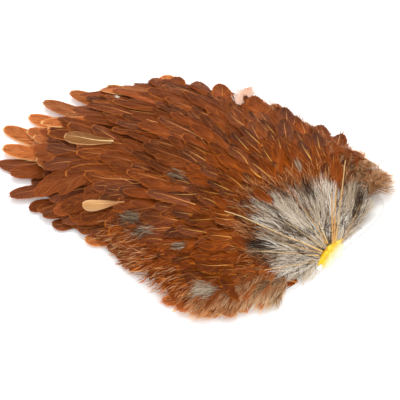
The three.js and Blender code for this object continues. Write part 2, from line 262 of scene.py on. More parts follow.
class Surface:
    """Gathers vertices, faces and a map, in millimetres, for one piece."""

    def __init__(self):
        self.places, self.maps, self.quads, self.triangles, self.count = [], [], [], [], 0

    def add(self, places, maps, quads, triangles=()):
        """places is (n, 3), maps (n, 2), and the faces count from this call's first vertex."""
        self.quads.append(np.asarray(quads).reshape(-1, 4) + self.count)
        self.triangles.append(np.asarray(triangles, int).reshape(-1, 3) + self.count)
        self.places.append(np.asarray(places, float).reshape(-1, 3))
        self.maps.append(np.asarray(maps, float).reshape(-1, 2))
        self.count += len(self.places[-1])

    def add_grids(self, places, maps):
        """Adds n sheets at once: places is (n, rows, columns, 3) and maps (n, rows, columns, 2)."""
        n, rows, columns = places.shape[:3]
        corner = np.arange(n * rows * columns).reshape(n, rows, columns)
        here, beside = corner[:, :-1, :-1], corner[:, :-1, 1:]
        across, above = corner[:, 1:, 1:], corner[:, 1:, :-1]
        self.add(places, maps, np.stack([here, beside, across, above], -1))

    def add_ribbons(self, left, right, left_maps, right_maps):
        """Adds n pointed ribbons: left and right are (n, steps, 3), and their last points are one."""
        n, steps = left.shape[:2]
        body = np.stack([left[:, :-1], right[:, :-1]], 2).reshape(n, -1, 3)
        body_maps = np.stack([left_maps[:, :-1], right_maps[:, :-1]], 2).reshape(n, -1, 2)
        places = np.concatenate([body, left[:, -1:]], 1)
        maps = np.concatenate([body_maps, left_maps[:, -1:]], 1)
        corner = np.arange(n * places.shape[1]).reshape(n, -1)
        quads = [corner[:, [k, k + 1, k + 3, k + 2]] for k in range(0, 2 * (steps - 2), 2)]
        last = 2 * (steps - 2)
        self.add(places, maps, np.concatenate(quads), corner[:, [last, last + 1, last + 2]])

    def make(self, name, material, replaced):
        """Makes the piece, which takes the place of the replaced nodes' solids."""
        quads, triangles = np.concatenate(self.quads), np.concatenate(self.triangles)
        corners = np.concatenate([quads.ravel(), triangles.ravel()])
        sizes = np.concatenate([np.full(len(quads), 4), np.full(len(triangles), 3)])
        mesh = bpy.data.meshes.new(name)
        mesh.vertices.add(self.count)
        mesh.vertices.foreach_set("co", (np.concatenate(self.places) * MM).astype(np.float32).ravel())
        mesh.loops.add(len(corners))
        mesh.loops.foreach_set("vertex_index", corners.astype(np.int32))
        mesh.polygons.add(len(sizes))
        starts = np.concatenate([[0], np.cumsum(sizes)[:-1]])
        mesh.polygons.foreach_set("loop_start", starts.astype(np.int32))
        mesh.polygons.foreach_set("use_smooth", np.full(len(sizes), True))
        maps = np.concatenate(self.maps)
        filling = 0.01 + 0.98 * (maps - maps.min(0)) / np.ptp(maps, 0)
        for layer_name, values in (("OFBake", filling), ("paint_map", maps)):
            layer = mesh.uv_layers.new(name=layer_name)
            layer.uv.foreach_set("vector", values[corners].astype(np.float32).ravel())
        mesh.update(calc_edges=True)
        mesh.validate()
        mesh.materials.append(material)
        piece = bpy.data.objects.new(name, mesh)
        bpy.context.scene.collection.objects.link(piece)
        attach(piece, "root")
        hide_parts(*replaced)


def make_sheet(name, material, replaced, places, maps):
    """Makes a piece of one sheet: places is (rows, columns, 3) and maps (rows, columns, 2)."""
    surface = Surface()
    surface.add_grids(places[None], maps[None])
    surface.make(name, MATERIALS[material], [replaced])


# Materials
class Nodes:
    """Short calls for the shader nodes that the materials are made of."""

    def __init__(self, tree):
        self.tree = tree

    def new(self, kind, **settings):
        node = self.tree.nodes.new(kind)
        for key, value in settings.items():
            setattr(node, key, value)
        return node

    def link(self, source, target):
        if isinstance(source, bpy.types.NodeSocket):
            self.tree.links.new(source, target)
        else:
            target.default_value = source

    def math(self, operation, *values):
        node = self.new("ShaderNodeMath", operation=operation)
        for value, socket in zip(values, node.inputs):
            self.link(value, socket)
        return node.outputs[0]

    def times(self, a, b):
        return self.math("MULTIPLY", a, b)

    def minus(self, a, b):
        return self.math("SUBTRACT", a, b)

    def between(self, value, low, high, to_low=0.0, to_high=1.0):
        node = self.new("ShaderNodeMapRange", interpolation_type="SMOOTHSTEP")
        for number, socket in zip((value, low, high, to_low, to_high), node.inputs):
            self.link(number, socket)
        return node.outputs[0]

    def mix(self, share, a, b, blend="MIX"):
        node = self.new("ShaderNodeMix", data_type="RGBA", blend_type=blend)
        self.link(share, node.inputs["Factor"])
        for colour, socket in ((a, node.inputs[6]), (b, node.inputs[7])):
            self.link((*colour, 1) if isinstance(colour, tuple) else colour, socket)
        return node.outputs[2]

    def ramp(self, value, stops, stepped=False):
        node = self.new("ShaderNodeValToRGB")
        self.link(value, node.inputs[0])
        if stepped:
            node.color_ramp.interpolation = "CONSTANT"
        elements = node.color_ramp.elements
        while len(elements) < len(stops):
            elements.new(0.5)
        for element, (place, colour) in zip(elements, stops):
            element.position = place
            element.color = (*colour, 1)
        return node.outputs[0]

    def vector(self, x=0.0, y=0.0, z=0.0):
        node = self.new("ShaderNodeCombineXYZ")
        for value, socket in zip((x, y, z), node.inputs):
            self.link(value, socket)
        return node.outputs[0]

    def noise(self, vector, scale=1.0, detail=2.0):
        node = self.new("ShaderNodeTexNoise")
        self.link(vector, node.inputs["Vector"])
        node.inputs["Scale"].default_value = scale
        node.inputs["Detail"].default_value = detail
        return node.outputs["Fac"]

    def map_place(self):
        """The two coordinates of the map that a piece's colours are laid out on."""
        uv = self.new("ShaderNodeUVMap", uv_map="paint_map")
        parts = self.new("ShaderNodeSeparateXYZ")
        self.link(uv.outputs[0], parts.inputs[0])
        return parts.outputs[0], parts.outputs[1]


def srgb(red, green, blue):
    """A colour as a picture shows it, in the light's own scale."""
    return tuple(c / 3294.6 if c <= 10 else ((c / 255 + 0.055) / 1.055) ** 2.4 for c in (red, green, blue))


BUMP_STRENGTH = 0.25
BUMP_DEPTH = 0.3
ROUGHNESS_VARIES = 0.1


def material_with(name, paint, roughness, translucence, specular=0.15):
    """A material that lets a share of the light through. paint(nodes) gives its colour and fine relief."""
    material = bpy.data.materials.new(name)
    material.use_nodes = True
    nodes = Nodes(material.node_tree)
    shader = material.node_tree.nodes["Principled BSDF"]
    shader.inputs["Specular IOR Level"].default_value = specular
    colour, relief = paint(nodes)
    nodes.link(colour, shader.inputs["Base Color"])
    rougher, smoother = roughness + ROUGHNESS_VARIES, roughness - ROUGHNESS_VARIES
    nodes.link(nodes.between(relief, 0.3, 0.7, rougher, smoother), shader.inputs["Roughness"])
    bump = nodes.new("ShaderNodeBump")
    bump.inputs["Strength"].default_value = BUMP_STRENGTH
    bump.inputs["Distance"].default_value = BUMP_DEPTH * MM
    nodes.link(relief, bump.inputs["Height"])
    nodes.link(bump.outputs[0], shader.inputs["Normal"])
    if translucence:
        through = nodes.new("ShaderNodeBsdfTranslucent")
        nodes.link(colour, through.inputs["Color"])
        both = nodes.new("ShaderNodeMixShader")
        both.inputs[0].default_value = translucence
        nodes.link(shader.outputs[0], both.inputs[1])
        nodes.link(through.outputs[0], both.inputs[2])
        nodes.link(both.outputs[0], material.node_tree.nodes["Material Output"].inputs["Surface"])
    return material


# The map of feathers is a chart of cells. Each feather lies on one cell, so that its colours are that cell's.
CELLS = 8
CELL_VANE = 0.9  # share of a cell's width that the vane has, before the strip for its shaft
FRONT = (srgb(152, 70, 8), srgb(222, 128, 30), srgb(252, 188, 88))  # vane, edge and shaft colours
MIDDLE = (srgb(143, 68, 18), srgb(208, 122, 44), srgb(238, 160, 90))
BACK = (srgb(164, 82, 32), srgb(212, 132, 66), srgb(216, 140, 80))
# The finger colours are partly the tail feathers' own light ginger and partly painted light: the glow of light
# shining through thin feathers.
FINGERS = (srgb(214, 122, 58), srgb(255, 214, 144), srgb(230, 152, 84))
FLANK = (srgb(140, 62, 8), srgb(232, 134, 38), srgb(244, 168, 76))
ZONES = [FRONT, FRONT, MIDDLE, MIDDLE, MIDDLE, BACK, FINGERS, FLANK]  # by row of cells
FINGER_ROW, FLANK_ROW = 6.5, 7.5
OUTLINE_STRENGTHS = [(0, (1, 1, 1)), (5 / CELLS, (0.6, 0.6, 0.6)), (6 / CELLS, (1, 1, 1))]
DEEP_BROWN = srgb(56, 20, 6)
# A mauve cast on some feathers, partly their own tone and partly a painted sheen.
MAUVE_BROWN_AND_SHEEN = srgb(120, 74, 58)
BARB_ROWS = 46.0  # rows of barbs along a vane, as its streaks show them
BARB_LEAN = 12.0  # how many of these rows a barb leans forward on its way to the edge


def barb_rows(nodes, off_shaft, along):
    """How far along the vane a place's own barb begins, in rows."""
    return nodes.minus(nodes.times(along, BARB_ROWS), nodes.times(off_shaft, BARB_LEAN))


def feather_paint(nodes):
    across, along = nodes.map_place()
    column = nodes.times(across, CELLS)
    row = nodes.times(along, CELLS)
    cell_x, cell_y = nodes.math("FLOOR", column), nodes.math("FLOOR", row)
    local_x, t = nodes.math("FRACT", column), nodes.math("FRACT", row)
    s = nodes.minus(nodes.times(local_x, 2 / CELL_VANE), 1.0)
    off_shaft = nodes.math("ABSOLUTE", s)
    barb = barb_rows(nodes, off_shaft, t)
    seed = nodes.math("ADD", nodes.times(cell_x, 7.31), nodes.times(cell_y, 3.7))
    streaks = nodes.noise(nodes.vector(barb, nodes.times(s, 1.2), seed), 1.0, 3.0)
    patches = nodes.noise(nodes.vector(nodes.times(t, 4.0), s, seed), 1.0, 1.0)
    whims = [
        nodes.noise(nodes.vector(*places), scale, 0.0) for places, scale in (
            ((seed, cell_x, cell_y), 3.7), ((cell_y, seed, cell_x), 5.3), ((cell_x, cell_y, seed), 7.1),
        )
    ]
    zone = nodes.math("DIVIDE", nodes.math("ADD", cell_y, 0.5), CELLS)
    vane, edge, shaft = (
        nodes.ramp(zone, [(k / CELLS, colours[part]) for k, colours in enumerate(ZONES)], stepped=True)
        for part in range(3)
    )
    # Partly painted light: the thin golden outline round each vane's edge and tip is partly the feather's own
    # lighter edge and partly a painted glow of light through its thin barb ends.
    outlined = nodes.between(whims[2], 0.38, 0.68, 0.2, 0.85)
    outlined = nodes.times(outlined, nodes.ramp(zone, OUTLINE_STRENGTHS, stepped=True))
    rim = nodes.between(nodes.math("ADD", off_shaft, nodes.times(patches, 0.16)), 0.82, 1.04)
    rim = nodes.times(rim, nodes.between(t, 0.35, 0.75, 0.35, 1.0))
    rim = nodes.times(nodes.math("MAXIMUM", rim, nodes.between(t, 0.955, 0.985)), outlined)
    # Some feathers get the mauve cast: partly their own tone, partly a painted sheen.
    colour = nodes.mix(nodes.between(whims[1], 0.48, 0.66, 0.0, 0.5), vane, MAUVE_BROWN_AND_SHEEN)
    inside_tip = nodes.times(nodes.between(t, 0.6, 0.9), nodes.between(off_shaft, 0.4, 0.8, 1.0, 0.0))
    inside_tip = nodes.times(inside_tip, nodes.between(zone, 0.4, 0.75, 0.45, 0.14))
    colour = nodes.mix(inside_tip, colour, DEEP_BROWN)
    colour = nodes.mix(nodes.between(streaks, 0.52, 0.74, 0.0, 0.55), colour, edge)
    colour = nodes.mix(nodes.between(streaks, 0.28, 0.48, 0.6, 0.0), colour, DEEP_BROWN)
    light = nodes.between(whims[0], 0.3, 0.7, 0.76, 1.3)
    colour = nodes.mix(1.0, colour, nodes.vector(light, light, light), "MULTIPLY")
    colour = nodes.mix(rim, colour, edge)
    pale_shaft = nodes.mix(nodes.between(whims[1], 0.42, 0.54, 0.9, 0.0), shaft, vane)
    return nodes.mix(nodes.between(local_x, 0.935, 0.94), colour, pale_shaft), streaks


def strand_relief(nodes, tone, along):
    return nodes.noise(nodes.vector(nodes.times(tone, 90.0), nodes.times(along, 6.0)), 1.0, 2.0)


def down_paint(nodes):
    tone, along = nodes.map_place()
    colour = nodes.ramp(tone, [
        (0.0, srgb(34, 24, 20)), (0.2, srgb(96, 72, 54)), (0.45, srgb(180, 156, 128)),
        (0.7, srgb(228, 212, 188)), (1.0, srgb(255, 250, 240)),
    ])
    colour = nodes.mix(nodes.between(along, 0.5, 1.0, 0.0, 0.4), colour, srgb(150, 110, 80))
    return colour, strand_relief(nodes, tone, along)


def fluff_paint(nodes):
    tone, along = nodes.map_place()
    root = nodes.ramp(tone, [
        (0.0, srgb(90, 71, 56)), (0.3, srgb(212, 162, 114)),
        (0.6, srgb(146, 74, 28)), (1.0, srgb(206, 118, 50)),
    ])
    tip = nodes.ramp(tone, [
        (0.0, srgb(178, 150, 120)), (0.3, srgb(255, 234, 194)),
        (0.6, srgb(240, 166, 98)), (1.0, srgb(255, 232, 184)),
    ])
    return nodes.mix(nodes.between(along, 0.2, 0.95), root, tip), strand_relief(nodes, tone, along)


def quill_paint(nodes):
    tone, along = nodes.map_place()
    colour = nodes.ramp(tone, [
        (0.0, srgb(206, 150, 84)), (0.5, srgb(218, 172, 108)), (1.0, srgb(238, 210, 164)),
    ])
    colour = nodes.mix(nodes.between(along, 0.0, 0.16, 0.7, 0.0), colour, srgb(246, 190, 70))
    return colour, strand_relief(nodes, tone, along)


def lone_vane(nodes):
    """A lone feather's map: across it, along it, the distance from its shaft and the barbs' streaks."""
    across, along = nodes.map_place()
    off_shaft = nodes.math("ABSOLUTE", nodes.minus(nodes.times(across, 2 / CELL_VANE), 1.0))
    streaks = nodes.noise(nodes.vector(barb_rows(nodes, off_shaft, along), across), 1.0, 2.0)
    return across, along, off_shaft, streaks


def cream_paint(nodes):
    across, along, s, streaks = lone_vane(nodes)
    colour = nodes.mix(nodes.between(s, 0.0, 0.9), srgb(226, 170, 104), srgb(255, 222, 164))
    colour = nodes.mix(nodes.between(streaks, 0.4, 0.7, 0.0, 0.35), colour, srgb(180, 112, 58))
    colour = nodes.mix(nodes.between(along, 0.2, 0.65, 0.7, 0.0), colour, srgb(178, 104, 54))
    # Painted shade: the vane turns tan towards its near side, the side away from the light, and stays pale on
    # its far side.
    return nodes.mix(nodes.between(across, 0.1, 0.6, 0.5, 0.0), colour, srgb(196, 130, 72)), streaks


def pale_paint(nodes):
    _, _, s, streaks = lone_vane(nodes)
    colour = nodes.mix(nodes.between(s, 0.1, 0.9), srgb(250, 216, 190), srgb(255, 240, 228))
    return nodes.mix(nodes.between(streaks, 0.4, 0.7, 0.0, 0.3), colour, srgb(222, 160, 122)), streaks


def bed_paint(nodes):
    across, along = nodes.map_place()
    patches = nodes.noise(nodes.vector(across, along), 14.0, 4.0)
    return nodes.ramp(patches, [(0.3, srgb(112, 54, 24)), (0.7, srgb(156, 82, 42))]), patches


def down_bed_paint(nodes):
    across, along = nodes.map_place()
    patches = nodes.noise(nodes.vector(nodes.times(across, 3.0), along), 14.0, 4.0)
    colour = nodes.ramp(patches, [(0.35, srgb(110, 88, 70)), (0.65, srgb(206, 184, 156))])
    near_end, far_end = nodes.between(across, 0.12, 0.24, 1.0, 0.0), nodes.between(across, 0.84, 0.92)
    corners = nodes.math("MAXIMUM", near_end, far_end)
    return nodes.mix(nodes.times(corners, 0.85), colour, srgb(156, 100, 66)), patches


def skin_paint(nodes):
    across, along = nodes.map_place()
    cloud = nodes.noise(nodes.vector(across, along), 16.0, 4.0)
    colour = nodes.ramp(cloud, [
        (0.3, srgb(236, 212, 164)), (0.5, srgb(246, 230, 194)), (0.75, srgb(252, 244, 222)),
    ])
    # Painted light: towards the front the skin is turned near white, a painted glare over its own cream colour.
    return nodes.mix(nodes.between(across, 0.76, 0.86, 0.0, 0.95), colour, srgb(255, 254, 252)), cloud


def yellow_paint(nodes):
    across, along = nodes.map_place()
    lumps = nodes.noise(nodes.vector(across, along), 7.0, 3.0)
    colour = nodes.ramp(lumps, [
        (0.3, srgb(250, 180, 6)), (0.5, srgb(255, 216, 14)), (0.7, srgb(255, 236, 90)),
    ])
    colour = nodes.mix(nodes.between(across, 0.25, 0.5, 0.8, 0.0), colour, srgb(214, 124, 26))
    # Painted light: the front of the yellow tip fades to near white, a painted glare over its yellow.
    return nodes.mix(nodes.between(across, 0.55, 0.85), colour, srgb(255, 252, 226)), lumps


def olive_paint(nodes):
    across, along, s, streaks = lone_vane(nodes)
    colour = nodes.mix(nodes.between(streaks, 0.35, 0.65), srgb(140, 88, 44), srgb(174, 118, 66))
    edge = nodes.math("MAXIMUM", nodes.between(s, 0.8, 0.95), nodes.between(along, 0.95, 0.99))
    colour = nodes.mix(edge, colour, srgb(230, 176, 118))
    return nodes.mix(nodes.between(across, 0.93, 0.94), colour, srgb(250, 214, 150)), streaks


# Feathers
VANE_WIDEST = 0.72  # share of the length at which a vane is widest
LOWEST_VANE = 0.15  # height over the surface under the patch
SHAFT_END = 0.94  # share of the length at which a shaft ends
BARB_STEPS = np.array([0.0, 0.38, 0.74, 1.0])


class Feathers:
    """A set of feathers as arrays with one entry a feather."""

    PARTS = (
        "tips", "headings", "lengths", "half_widths", "base_widths", "cells", "lifts", "sinks",
        "curls", "bends", "sways", "rolls", "cups", "loosenesses",
    )

    def __init__(self, level, **parts):
        """level gives the height under a feather at x, y. parts are one number or an array each."""
        self.level = level
        self.count = len(parts["tips"])
        for name in self.PARTS:
            values = np.asarray(parts.get(name, 0.0), float)
            setattr(self, name, np.resize(values, (self.count, *values.shape[1:])))

    def only(self, chosen):
        return Feathers(self.level, **{name: getattr(self, name)[chosen] for name in self.PARTS})

    def sized(self, name):
        """A part as an array that goes with (feathers, rows, columns) arrays."""
        return getattr(self, name)[:, None, None]

    def width(self, t):
        """Half widths along the length as a share of the greatest, from the quill to the rounded tip."""
        rising = mix(self.sized("base_widths"), 1, smooth(t, 0.0, VANE_WIDEST))
        closing = np.clip((t - VANE_WIDEST) / (1 - VANE_WIDEST), 0, 1)
        return rising * np.clip(1 - closing**2.3, 0, 1) ** 0.5

    def at(self, t, s, up):
        """Places for shares of the length and of the half width, all (feathers, rows, columns) arrays."""
        along = direction(self.headings)[:, None, None]
        side = direction(self.headings - 90)[:, None, None]
        back = (1 - t) * self.sized("lengths")
        lateral = s * self.sized("half_widths") + self.sized("bends") * (1 - t) * back
        lateral = lateral + self.sized("sways") * np.sin((1 - t) * 7)
        flat = self.tips[:, None, None] - along * back[..., None] + side * lateral[..., None]
        gone = np.maximum(t, 0)
        rise = mix(-self.sized("sinks"), self.sized("lifts"), gone**1.2) + self.sized("curls") * gone**3
        rise = rise - self.sized("cups") * s**2 + self.sized("rolls") * s * self.sized("half_widths") + up
        return with_level(flat, np.maximum(self.level(flat[..., 0], flat[..., 1]) + rise, LOWEST_VANE))

    def chart_place(self, t, s):
        """The share across the vane, which is the same all along its edges, and the share along it."""
        return np.clip(s / np.maximum(self.width(t), 0.04), -0.98, 0.98), np.clip(t, 0.01, 0.99)

    def on_map(self, t, s):
        """Where on the chart of cells a share of the length and of the half width lies."""
        across, along = self.chart_place(t, s)
        column, row = self.cells[:, 0][:, None, None], self.cells[:, 1][:, None, None]
        u = (column + (across + 1) / 2 * CELL_VANE) / CELLS
        return together(u, (row + along) / CELLS)

    def shaft_on_map(self, t, s):
        column, row = self.cells[:, 0][:, None, None], self.cells[:, 1][:, None, None]
        return together((column + 0.97 + 0.015 * s) / CELLS, (row + t) / CELLS)


class LoneFeather(Feathers):
    """One feather whose colours fill the whole map."""

    def on_map(self, t, s):
        across, along = self.chart_place(t, s)
        return together((across + 1) / 2 * CELL_VANE, along)

    def shaft_on_map(self, t, s):
        return together(0.97 + 0.015 * s, t)


def add_vanes(surface, feathers, start=0.3, rows=9, columns=5):
    """The sheet under the barbs, which closes the vane as far as it isn't loose."""
    loose = feathers.sized("loosenesses")
    gone = (0.99 - 0.07 * loose - start) * np.linspace(0, 1, rows)[None, :, None]
    t = start + gone * np.ones((1, 1, columns))
    s = np.linspace(-1, 1, columns)[None, None, :] * feathers.width(t) * mix(0.96, 0.5, loose)
    surface.add_grids(feathers.at(t, s, -0.1), feathers.on_map(t, s))


def add_barbs(surface, feathers, start=0.3, per_side=34, width=0.6):
    """Barbs as thin pointed ribbons on both sides of each shaft, each leaning forward to the vane's edge."""
    steps, count = BARB_STEPS, feathers.count
    loose = feathers.sized("loosenesses")
    span = (0.97 - start) / per_side
    for side in (-1, 1):
        order = np.arange(per_side) + 0.5 + rng.normal(0, 0.15, (count, per_side))
        root = start + span * order[:, :, None]
        sweep = mix(0.24 * (1 - np.clip(root, 0, 1) ** 3), 0.42 * (1 - 0.5 * root), loose)
        end = root + sweep + mix(0.01, 0.04, loose) * rng.normal(0, 1, root.shape)
        least = 0.6 * loose * np.sqrt(np.clip(1 - root, 0, 1))
        reach = np.maximum(feathers.width(np.minimum(end, 0.995)), least)
        reach = reach * (1 + mix(0.03, 0.26, loose) * rng.normal(0.2, 1, end.shape))
        t = root + (end - root) * steps**1.25
        s = side * reach * (1 - (1 - steps) ** 1.35)
        half = width / 2 / feathers.sized("lengths") * np.array([0.75, 1.0, 0.85, 0.0])
        up = 0.05 * rng.random(end.shape)
        up = up + mix(0.04, 0.26, loose) * rng.normal(0, 1, end.shape) * steps**2
        edges = [
            feathers.at(t + half, s, up + 0.09 * np.sign(half)), feathers.at(t - half, s, up),
            feathers.on_map(t + half, s), feathers.on_map(t - half, s),
        ]
        edges = [values.reshape(-1, len(steps), values.shape[-1]) for values in edges]
        surface.add_ribbons(*(edges if side < 0 else [edges[k] for k in (1, 0, 3, 2)]))


def add_shafts(surface, feathers, start=0.2, rows=9, thickness=0.42):
    """Shafts as ridges that taper to the tip."""
    t = np.linspace(start, SHAFT_END, rows)[None, :, None] * np.ones((feathers.count, 1, 3))
    taper = thickness * (1.02 - t)
    across = np.array([-1.0, 0.0, 1.0])[None, None, :]
    s = across * taper / feathers.sized("half_widths")
    up = (1 - np.abs(across)) * taper + 0.06
    surface.add_grids(feathers.at(t, s, up), feathers.shaft_on_map(t, across * np.ones_like(t)))


# Strands of down and fluff
HAIR_WIDTH = 0.24


def strand_spines(roots, headings, lengths, turns, waves, steps=5):
    """Flat spines (n, steps, 2) that turn and wave as they go, their headings and shares of the length."""
    t = np.linspace(0, 1, steps)[None, :]
    rate, phase = (rng.uniform(*limits, (len(roots), 1)) for limits in ((4, 9), (0, 6)))
    swing = waves[:, None] * np.sin(t * rate + phase)
    way = headings[:, None] + turns[:, None] * t + swing
    step = direction(way) * (lengths / (steps - 1))[:, None, None]
    return roots[:, None] + np.cumsum(step, 1) - step[:, :1], way, t


def add_strands(surface, flat, level, way, width, tones):
    """Thin pointed ribbons along flat spines at the given heights, each leaning by a chance angle."""
    leaning = rng.uniform(-0.9, 0.9, (len(way), 1))
    across = direction(way + 90) * np.cos(leaning)[..., None]
    across = np.concatenate([across, np.sin(leaning)[..., None] * np.ones((*way.shape, 1))], -1)
    spines = with_level(flat, level)
    steps = spines.shape[1]
    half = width / 2 * np.array([1.0] * (steps - 2) + [0.7, 0.0])[None, :, None]
    share = np.linspace(0.02, 0.98, steps)[None, :] * np.ones((len(spines), 1))
    tones = np.clip(tones, 0.02, 0.98)[:, None] * np.ones((1, steps))
    maps = [np.stack([tones + offset, share], -1) for offset in (-0.004, 0.004)]
    surface.add_ribbons(spines - across * half, spines + across * half, *maps)


def cells_for(rows):
    """Cells of the chart in the given rows, each in a chance column."""
    return np.stack([rng.integers(0, CELLS, len(rows)), np.clip(np.floor(rows), 0, CELLS - 1)], -1)


# The coat
COAT_ROWS = (38.0, 190)  # the first row's distance from the front tip, and where rows end
COAT_PIECES = ("coat_front", "coat_middle", "coat_back", "coat_tail")
COAT_BARBS = {"per_side": 44, "width": 0.45}


def coat_layout():
    """The tips of the coat's feathers, in uneven rows round the front tip."""
    tips = []
    distance = COAT_ROWS[0]
    while distance < COAT_ROWS[1]:
        growth = smooth(distance, 70, 160)
        turn = math.degrees(mix(5.4, 7.0, growth) / distance)
        half_step = rng.random()
        for i in range(int(CUT_ANGLES[0] / turn) - 2, int(CUT_ANGLES[1] / turn) + 3):
            degrees = (i + half_step + rng.normal(0, 0.2)) * turn
            if distance > 64 or FEATHERS_BETWEEN[0] < degrees < FEATHERS_BETWEEN[1]:
                tips.append(place_from_tip(distance + rng.normal(0, 2.4), degrees))
        distance += mix(7.0, 12.3, growth)
    for share in (0.82, 0.9, 0.97):
        edge = curve_through(OUTLINE, 6 * len(OUTLINE))[68:82]
        tips.extend(edge * (share + rng.normal(0, 0.015, (len(edge), 1))) + rng.normal(0, 1.2, edge.shape))
    tips = np.array(tips)
    x, y = tips[:, 0], tips[:, 1]
    share = share_of_outline(x, y)
    far_rim, near_rim = smooth(y, 10, 45) * smooth(x, -50, -20), smooth(-y, 10, 40)
    tail = smooth(tail_share(x, y), 0.5, 1)
    keep = share < 0.97 - 0.1 * far_rim + 0.03 * near_rim - (0.19 + rng.normal(0, 0.03, len(tips))) * tail
    distance, degrees = from_front_tip(x, y)
    keep &= (distance > plume_reach(degrees) + 4) & ((degrees < 60) | (x < 50))
    return tips[keep]


def flank_share(x, y):
    """1 at the near rim, where vanes are loose and golden, and 0 elsewhere."""
    return smooth(share_of_outline(x, y), 0.64, 0.94) * smooth(-y, 8, 35) * smooth(x, -18, 16)


def zone_of(tips):
    """The row of the chart for feathers by where their tips are."""
    x, y = tips[:, 0], tips[:, 1]
    zone = np.minimum((from_front_tip(x, y)[0] - 38) / 130 * 6 + rng.normal(0, 0.5, len(tips)), 5.9)
    light = 0.9 * smooth(-x, 38, 62) * smooth(y, -30, -18) * smooth(share_of_outline(x, y), 0.66, 0.86)
    light = light * (1 - 0.5 * smooth(y, 20, 42))
    zone = np.where(rng.random(len(tips)) < light, FINGER_ROW, zone)
    return np.where(rng.random(len(tips)) < flank_share(x, y), FLANK_ROW, zone)


def looseness_at(tips):
    """How far barbs have come apart, from 0 to 1."""
    x, y = tips[:, 0], tips[:, 1]
    near_front = 0.3 * (1 - smooth(from_front_tip(x, y)[0], 45, 110))
    far_corner = 0.7 * smooth(x, 45, 72) * smooth(share_of_outline(x, y), 0.7, 0.9)
    far_rim = (0.15 + 0.3 * smooth(x, 0, 40)) * smooth(y, 35, 55)
    loose = np.max([0.65 * flank_share(x, y), near_front, far_corner, far_rim], 0)
    return np.clip(loose + rng.normal(0.05, 0.06, len(tips)), 0, 1)


def coat_feathers():
    tips = coat_layout()
    count = len(tips)
    x, y = tips[:, 0], tips[:, 1]
    share = share_of_outline(x, y)
    growth = smooth(from_front_tip(x, y)[0], 70, 160)
    far_side = smooth(y, 10, 40) * smooth(share, 0.7, 0.92)
    lead = (rng.random(count) < 0.14) * (1 - smooth(share, 0.75, 0.85))
    lifts = 1.5 + rng.normal(0, 0.4, count) + 1.1 * lead
    lifts = lifts * (1 - 0.6 * smooth(share, 0.85, 1.0) * (1 - far_side))
    lifts = lifts + 1.1 * far_side * rng.random(count)
    curls = 0.5 * far_side * rng.random(count) + np.where(rng.random(count) < 0.06, 1.6, 0)
    finger = tail_share(x, y) * smooth(share, 0.8, 0.9)
    loose = looseness_at(tips)
    wide = mix(3.0, 3.9, growth) + 0.6 * far_side + 0.6 * loose + 0.2 * finger
    made = dict(
        tips=tips, cells=cells_for(zone_of(tips)), lifts=lifts, sinks=2.0 - 1.6 * lead, curls=curls,
        headings=(
            heading_at(tips) + far_tail_turn(x, y) + 7 * waviness(x, y) + rng.normal(0, 6, count)
            - 20 * flank_share(x, y)
        ),
        lengths=mix(26, 45, growth) * rng.normal(1, 0.06, count) + 3 * loose,
        half_widths=wide * rng.normal(1, 0.1, count), bends=rng.normal(0, 0.12, count),
        sways=rng.normal(0, 0.6, count), rolls=0.05 + rng.normal(0, 0.1, count),
        cups=np.full(count, 0.6), loosenesses=loose,
    )
    raised = np.array(RAISED, float)
    added = dict(
        tips=raised[:, :2], headings=raised[:, 2], half_widths=raised[:, 3], curls=raised[:, 4],
        lengths=np.full(len(raised), 22.0), cups=np.full(len(raised), 1.6), sways=np.zeros(len(raised)),
        cells=cells_for(raised[:, 5]), bends=np.zeros(len(raised)),
        loosenesses=0.08 + 0.2 * smooth(raised[:, 0], -5, 45),
    )
    for name, values in made.items():
        first = np.zeros((len(raised), *values.shape[1:])) + values[: len(raised)]
        made[name] = np.concatenate([values, added.get(name, first)])
    return Feathers(drooping_height, base_widths=0.55, **made)


def build_coat():
    feathers = coat_feathers()
    distance = from_front_tip(feathers.tips[:, 0], feathers.tips[:, 1])[0]
    for name, chosen in zip(COAT_PIECES, np.array_split(distance.argsort(), len(COAT_PIECES))):
        part = feathers.only(chosen)
        surface = Surface()
        add_vanes(surface, part)
        add_barbs(surface, part, **COAT_BARBS)
        add_shafts(surface, part, thickness=0.54 if name == "coat_front" else 0.42)
        surface.make(name, MATERIALS["feather"], ["feather_coat"])


SKIRT_ROWS = ((0.97, 0.36), (0.9, 0.64))  # share of the outline and share of the coat's height of each row
SKIRT_TAIL_BACK = 0.19  # how much nearer to the middle the rows are in the tail
SKIRT_BASE = 1.8  # the height from which the share is counted


def build_skirt():
    """Feathers low on the sides of the tail and of the far rim, under the coat's outermost ones."""
    surface = Surface()
    for share, low in SKIRT_ROWS:
        edge = curve_through(OUTLINE, 8 * len(OUTLINE))[11:94]
        tips = edge * (share + rng.normal(0, 0.012, (len(edge), 1))) + rng.normal(0, 1, edge.shape)
        tail = smooth(tail_share(tips[:, 0], tips[:, 1]), 0.4, 0.9)
        tips = tips * (1 - SKIRT_TAIL_BACK * tail[:, None])
        tips = tips[(tips[:, 1] > 20) | (np.arange(len(tips)) % 2 > 0)]
        count = len(tips)
        loose = looseness_at(tips)
        feathers = Feathers(
            lambda x, y: SKIRT_BASE + low * (drooping_height(x, y) - SKIRT_BASE), tips=tips, base_widths=0.7,
            headings=heading_at(tips) + far_tail_turn(*tips.T) + rng.normal(0, 6, count),
            lengths=26 * rng.normal(1, 0.06, count), half_widths=3.9 + 0.5 * loose,
            cells=cells_for(zone_of(tips)), lifts=0.8 + rng.normal(0, 0.3, count), sinks=0.8, cups=0.6,
            rolls=rng.normal(0, 0.08, count), sways=rng.normal(0, 0.5, count), loosenesses=loose,
        )
        add_vanes(surface, feathers)
        add_barbs(surface, feathers, per_side=32, width=0.5)
        add_shafts(surface, feathers)
    surface.make("coat_skirt", MATERIALS["feather"], ["feather_coat"])


BED_DEPTH = 2.6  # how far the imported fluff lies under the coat's top
BED_LOWEST = 2.2
MAP_SPAN = 200  # the map of a sheet seen from above is this wide


